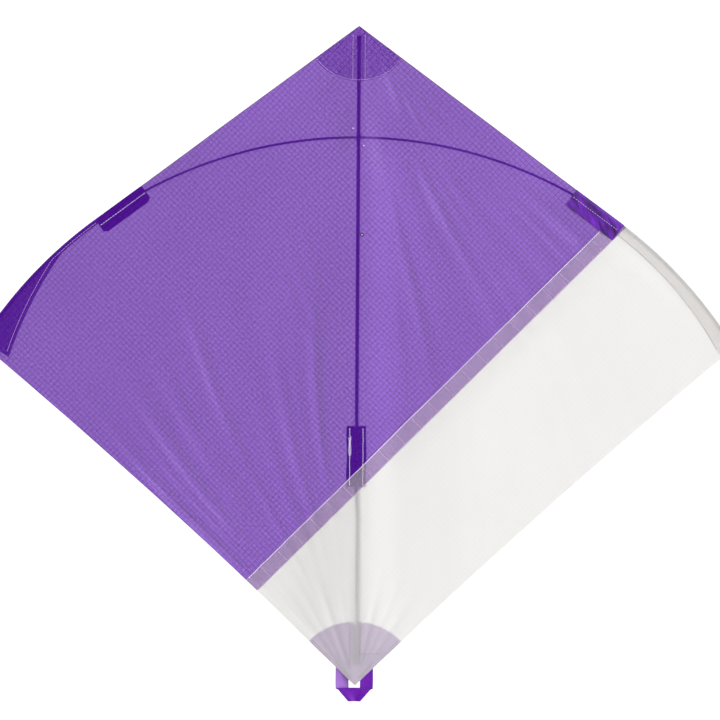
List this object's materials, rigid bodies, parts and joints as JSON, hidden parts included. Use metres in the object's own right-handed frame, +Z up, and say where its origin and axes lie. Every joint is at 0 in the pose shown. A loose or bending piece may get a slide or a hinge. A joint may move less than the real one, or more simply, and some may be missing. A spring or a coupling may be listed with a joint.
{
  "type": "fighter kite",
  "caption": "Flat diamond fighter kite: two-colour ripstop sail on a straight spine and a bent bow, with flexing wings and a ribbon tail loop.",
  "frame": {"origin": "on the face of the sail where the bow crosses the spine, the kite's tow point", "axes": "+Z up the spine to the nose, +X to the wing on the right as the face is seen, -Y out of the face towards the flyer"},
  "size_m": [0.6942, 0.0076, 0.6215],
  "materials": {
    "violet_ripstop": "coated ripstop sailcloth, translucent",
    "white_ripstop": "coated ripstop sailcloth, translucent",
    "violet_patch": "coated ripstop sailcloth",
    "deep_violet_cloth": "dense adhesive-backed cloth and ribbon",
    "thread": "polyester sewing thread",
    "carbon_rod": "pultruded carbon fibre rod, satin",
    "end_cap": "soft vinyl"
  },
  "bodies": {
    "airframe": {"spine": "carbon_rod", "spine_nose_cap": "end_cap", "spine_tail_cap": "end_cap", "bow_centre": "carbon_rod", "bow_lashing": "thread", "violet_sail_centre": "violet_ripstop", "white_sail_centre": "white_ripstop", "nose_patch": "violet_patch", "spine_sleeve": "deep_violet_cloth", "tail_patch": "violet_patch", "nose_stitching": "thread", "sleeve_stitching": "thread", "tail_stitching": "thread", "seam_stitching_centre": "thread", "tail_loop_tabs": "deep_violet_cloth"},
    "left_wing": {"violet_sail_left": "violet_ripstop", "white_sail_left": "white_ripstop", "bow_left": "carbon_rod", "bow_cap_left": "end_cap", "edge_sleeve_left": "violet_patch", "bow_pocket_left": "deep_violet_cloth", "edge_stitching_left": "thread", "seam_stitching_left": "thread"},
    "right_wing": {"violet_sail_right": "violet_ripstop", "white_sail_right": "white_ripstop", "bow_right": "carbon_rod", "bow_cap_right": "end_cap", "edge_sleeve_right": "white_ripstop", "bow_pocket_right": "deep_violet_cloth", "edge_stitching_right": "thread", "seam_stitching_right": "thread"},
    "tail_ribbon": {"tail_loop": "deep_violet_cloth"}
  },
  "joints": [
    {"name": "left_wing_flex", "type": "hinge", "parent": "airframe", "child": "left_wing", "pos_m": [-0.046, 0.0065, 0], "axis": [0, 0, 1], "range_deg": [-30, 0], "stiffness_Nm_per_rad": 0.6},
    {"name": "right_wing_flex", "type": "hinge", "parent": "airframe", "child": "right_wing", "pos_m": [0.046, 0.0065, 0], "axis": [0, 0, 1], "range_deg": [0, 30], "stiffness_Nm_per_rad": 0.6},
    {"name": "tail_loop_swing", "type": "hinge", "parent": "airframe", "child": "tail_ribbon", "pos_m": [-0.0005, 0.00105, -0.48685], "axis": [1, 0, 0], "range_deg": [0, 120]}
  ],
  "couplings": [
    {"joint": "right_wing_flex", "follows": "left_wing_flex", "ratio": -1}
  ]
}
